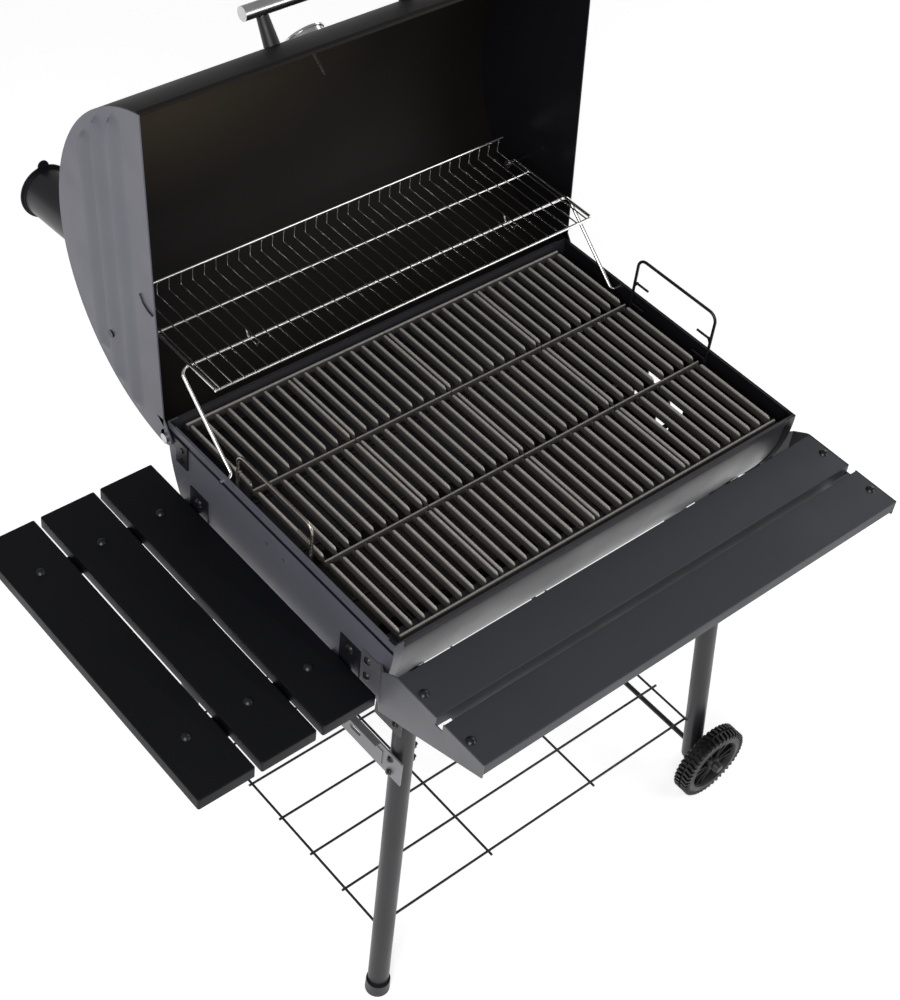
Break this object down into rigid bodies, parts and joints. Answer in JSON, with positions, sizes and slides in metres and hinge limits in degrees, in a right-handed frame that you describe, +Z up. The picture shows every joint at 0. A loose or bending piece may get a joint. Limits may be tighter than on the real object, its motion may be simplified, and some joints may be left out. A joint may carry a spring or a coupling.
{
  "type": "barrel charcoal smoker grill",
  "caption": "Barrel charcoal smoker grill on a wheeled cart, with a hinged lid and stack, linked warming rack, cast grates, fire grate lifters, front and side shelves.",
  "frame": {"origin": "middle of the whole part's footprint, on the floor, with the lid open", "axes": "+X to the right along the barrel, +Y to the rear, +Z up"},
  "size_m": [1.1266, 1.1062, 1.3701],
  "materials": {
    "tub_black": "satin heat-resistant coating",
    "panel_grey": "satin powder coat catching the light",
    "panel_dark": "satin powder coat",
    "sheet_black": "satin powder coat",
    "lid_black": "semi-gloss enamel",
    "pan_steel": "dull",
    "grate_iron": "seasoned casting",
    "fire_iron": "dull casting",
    "lifter_steel": "plain wire",
    "wire_black": "satin coated wire",
    "handle_steel": "brushed",
    "gauge_steel": "satin",
    "pin_steel": "plated",
    "washer_steel": "plated",
    "rack_chrome": "bright plated wire",
    "fastener_black": "black oxide",
    "leg_grey": "satin powder coat",
    "brace_grey": "satin powder coat",
    "front_shelf_grey": "satin powder coat",
    "bracket_grey": "satin powder coat",
    "side_shelf_black": "satin powder coat",
    "wheel_plastic": "moulded",
    "plastic_black": "moulded"
  },
  "bodies": {
    "cart": {"tub_shell": "tub_black", "tub_end_left": "panel_grey", "tub_end_right": "panel_dark", "grate_ledge_front": "sheet_black", "grate_ledge_rear": "sheet_black", "hinge_bracket_left": "sheet_black", "hinge_bracket_right": "sheet_black", "hinge_pins": "pin_steel", "hinge_rivets": "fastener_black", "damper_rivet": "pin_steel", "ash_pan": "pan_steel", "lifter_pegs": "wire_black", "front_leg_left": "leg_grey", "front_leg_right": "leg_grey", "rear_leg_left": "leg_grey", "rear_leg_right": "leg_grey", "leg_saddles": "sheet_black", "leg_caps": "plastic_black", "side_brace_left": "brace_grey", "side_brace_right": "brace_grey", "leg_bolts": "fastener_black", "bottom_rack": "wire_black", "axle": "wire_black", "axle_washers": "washer_steel", "axle_caps": "plastic_black", "front_shelf_plank_inner": "front_shelf_grey", "front_shelf_plank_outer": "front_shelf_grey", "front_shelf_bracket_left": "bracket_grey", "front_shelf_bracket_right": "sheet_black", "side_shelf_plank_inner": "side_shelf_black", "side_shelf_plank_middle": "side_shelf_black", "side_shelf_plank_outer": "side_shelf_black", "side_shelf_rail_front": "sheet_black", "side_shelf_rail_rear": "sheet_black", "plank_bolts": "fastener_black", "bracket_bolts": "fastener_black"},
    "lid": {"lid_shell": "lid_black", "lid_end_left": "panel_grey", "lid_end_right": "panel_dark", "lid_handle": "handle_steel", "handle_standoffs": "plastic_black", "handle_screws": "pin_steel", "heat_gauge": "gauge_steel", "smokestack": "sheet_black", "stack_cap_rivet": "pin_steel", "rack_pivot_pins": "fastener_black", "rack_hook_wire": "wire_black"},
    "warming_rack": {"warming_rack": "rack_chrome"},
    "rack_bail": {"rack_bail": "rack_chrome"},
    "grate_1": {"cooking_grate_1": "grate_iron"},
    "grate_2": {"cooking_grate_2": "grate_iron"},
    "grate_3": {"cooking_grate_3": "grate_iron"},
    "grate_4": {"cooking_grate_4": "grate_iron"},
    "fire_grate": {"charcoal_grate": "fire_iron", "fire_lifter_left": "lifter_steel", "fire_lifter_right": "wire_black"},
    "damper": {"damper_disc": "sheet_black"},
    "stack_cap": {"stack_cap": "sheet_black"},
    "wheel_front": {"wheel_front": "wheel_plastic"},
    "wheel_rear": {"wheel_rear": "wheel_plastic"}
  },
  "joints": [
    {"name": "lid_hinge", "type": "hinge", "parent": "cart", "child": "lid", "pos_m": [0.12866, 0.16188, 0.835], "axis": [1, 0, 0], "range_deg": [0, 95]},
    {"name": "rack_pivot", "type": "hinge", "parent": "lid", "child": "warming_rack", "pos_m": [0.12866, 0.28988, 0.943], "axis": [1, 0, 0], "range_deg": [-95, 0]},
    {"name": "bail_swing", "type": "hinge", "parent": "cart", "child": "rack_bail", "pos_m": [0.12866, 0.03288, 0.846], "axis": [1, 0, 0], "range_deg": [0, 95]},
    {"name": "grate_lift_1", "type": "slide", "parent": "cart", "child": "grate_1", "axis": [0, 0, 1], "range_m": [0, 0.045]},
    {"name": "grate_lift_2", "type": "slide", "parent": "cart", "child": "grate_2", "axis": [0, 0, 1], "range_m": [0, 0.045]},
    {"name": "grate_lift_3", "type": "slide", "parent": "cart", "child": "grate_3", "axis": [0, 0, 1], "range_m": [0, 0.045]},
    {"name": "grate_lift_4", "type": "slide", "parent": "cart", "child": "grate_4", "axis": [0, 0, 1], "range_m": [0, 0.045]},
    {"name": "fire_grate_lift", "type": "slide", "parent": "cart", "child": "fire_grate", "axis": [0, 0, 1], "range_m": [0, 0.06]},
    {"name": "damper_turn", "type": "hinge", "parent": "cart", "child": "damper", "pos_m": [0.52166, -0.09712, 0.69], "axis": [1, 0, 0], "range_deg": [0, 45]},
    {"name": "stack_cap_turn", "type": "hinge", "parent": "lid", "child": "stack_cap", "pos_m": [-0.22134, 0.54264, 0.97133], "axis": [0, 0.9962, -0.0872], "range_deg": [0, 90]},
    {"name": "wheel_front_spin", "type": "hinge", "parent": "cart", "child": "wheel_front", "pos_m": [0.49034, -0.41236, 0.073], "axis": [0, 1, 0], "continuous": true},
    {"name": "wheel_rear_spin", "type": "hinge", "parent": "cart", "child": "wheel_rear", "pos_m": [0.49034, 0.22612, 0.073], "axis": [0, 1, 0], "continuous": true}
  ],
  "couplings": [
    {"joint": "rack_pivot", "follows": "lid_hinge", "ratio": -1},
    {"joint": "bail_swing", "follows": "lid_hinge", "ratio": 1}
  ]
}
